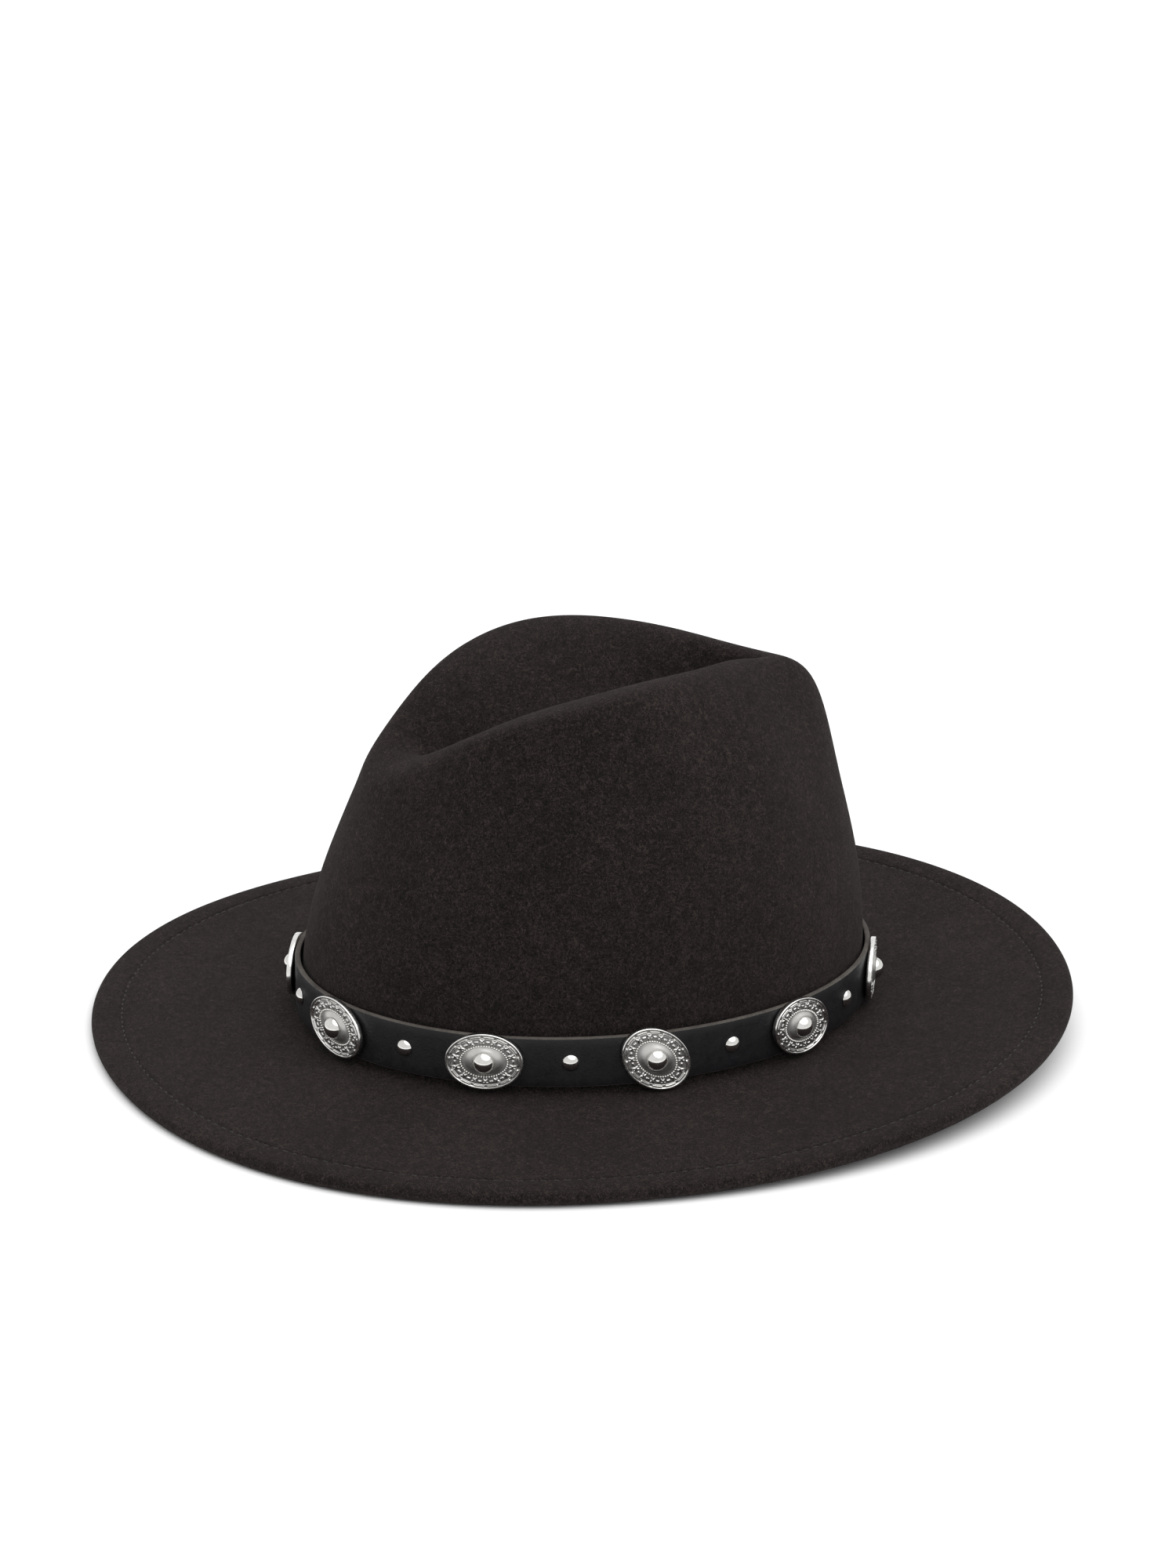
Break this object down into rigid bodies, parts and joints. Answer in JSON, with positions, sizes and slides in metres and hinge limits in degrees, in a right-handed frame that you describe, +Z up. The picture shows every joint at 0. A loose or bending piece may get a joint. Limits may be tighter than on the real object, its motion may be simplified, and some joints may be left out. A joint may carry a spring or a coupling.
{
  "type": "wide-brim felt hat",
  "caption": "Wide-brimmed dark felt hat with a dented, pinched crown and a lift-off leather band set with oval metal conchos and dome studs.",
  "frame": {"origin": "on the surface the brim rests on, under the middle of the brim", "axes": "+Z up, the hat's front (pinched, narrow end of the crown) faces -Y, the wearer's right side is -X"},
  "size_m": [0.3236, 0.3665, 0.1434],
  "materials": {
    "felt": "fuzzy wool felt, very dark brown",
    "thread": "black sewing thread",
    "sweatband_cloth": "black ribbed cotton band",
    "strap_leather": "smooth black leather, soft sheen",
    "plated_metal": "bright nickel plate, slightly aged in the relief"
  },
  "bodies": {
    "hat": {"felt_body": "felt", "hem_needle_thread": "thread", "hem_bobbin_thread": "thread", "sweatband": "sweatband_cloth", "sweatband_thread": "thread"},
    "hat_band": {"band_strap": "strap_leather", "concho_burrs": "plated_metal", "stud_burrs": "plated_metal", "concho_rivet_01": "plated_metal", "concho_rivet_02": "plated_metal", "concho_rivet_03": "plated_metal", "concho_rivet_04": "plated_metal", "concho_rivet_05": "plated_metal", "concho_rivet_06": "plated_metal", "concho_rivet_07": "plated_metal", "concho_rivet_08": "plated_metal", "concho_rivet_09": "plated_metal", "concho_rivet_10": "plated_metal", "dome_stud_01": "plated_metal", "dome_stud_02": "plated_metal", "dome_stud_03": "plated_metal", "dome_stud_04": "plated_metal", "dome_stud_05": "plated_metal", "dome_stud_06": "plated_metal", "dome_stud_07": "plated_metal", "dome_stud_08": "plated_metal", "dome_stud_09": "plated_metal", "dome_stud_10": "plated_metal"},
    "concho_01_plate": {"concho_01": "plated_metal"},
    "concho_02_plate": {"concho_02": "plated_metal"},
    "concho_03_plate": {"concho_03": "plated_metal"},
    "concho_04_plate": {"concho_04": "plated_metal"},
    "concho_05_plate": {"concho_05": "plated_metal"},
    "concho_06_plate": {"concho_06": "plated_metal"},
    "concho_07_plate": {"concho_07": "plated_metal"},
    "concho_08_plate": {"concho_08": "plated_metal"},
    "concho_09_plate": {"concho_09": "plated_metal"},
    "concho_10_plate": {"concho_10": "plated_metal"}
  },
  "joints": [
    {"name": "band_lift", "type": "slide", "parent": "hat", "child": "hat_band", "axis": [0, 0, 1], "range_m": [0, 0.16]},
    {"name": "concho_01_swivel", "type": "hinge", "parent": "hat_band", "child": "concho_01_plate", "pos_m": [0.02984, -0.10174, 0.0203], "axis": [0.4189, -0.908, 0], "range_deg": [-39, 45]},
    {"name": "concho_02_swivel", "type": "hinge", "parent": "hat_band", "child": "concho_02_plate", "pos_m": [0.07247, -0.05905, 0.0203], "axis": [0.8881, -0.4596, 0], "range_deg": [-48, 36]},
    {"name": "concho_03_swivel", "type": "hinge", "parent": "hat_band", "child": "concho_03_plate", "pos_m": [0.0864, 0, 0.0203], "axis": [1, 0, 0], "range_deg": [-37, 47]},
    {"name": "concho_04_swivel", "type": "hinge", "parent": "hat_band", "child": "concho_04_plate", "pos_m": [0.07437, 0.06004, 0.0203], "axis": [0.8881, 0.4596, 0], "range_deg": [-16, 68]},
    {"name": "concho_05_swivel", "type": "hinge", "parent": "hat_band", "child": "concho_05_plate", "pos_m": [0.02984, 0.10174, 0.0203], "axis": [0.4189, 0.908, 0], "range_deg": [-38, 46]},
    {"name": "concho_06_swivel", "type": "hinge", "parent": "hat_band", "child": "concho_06_plate", "pos_m": [-0.02984, 0.10174, 0.0203], "axis": [-0.4189, 0.908, 0], "range_deg": [-32, 52]},
    {"name": "concho_07_swivel", "type": "hinge", "parent": "hat_band", "child": "concho_07_plate", "pos_m": [-0.07247, 0.05905, 0.0203], "axis": [-0.8881, 0.4596, 0], "range_deg": [-47, 37]},
    {"name": "concho_08_swivel", "type": "hinge", "parent": "hat_band", "child": "concho_08_plate", "pos_m": [-0.0864, 0, 0.0203], "axis": [-1, 0, 0], "range_deg": [-2, 82]},
    {"name": "concho_09_swivel", "type": "hinge", "parent": "hat_band", "child": "concho_09_plate", "pos_m": [-0.07247, -0.05905, 0.0203], "axis": [-0.8881, -0.4596, 0], "range_deg": [-25, 59]},
    {"name": "concho_10_swivel", "type": "hinge", "parent": "hat_band", "child": "concho_10_plate", "pos_m": [-0.02984, -0.10174, 0.0203], "axis": [-0.4189, -0.908, 0], "range_deg": [-50, 34]}
  ]
}
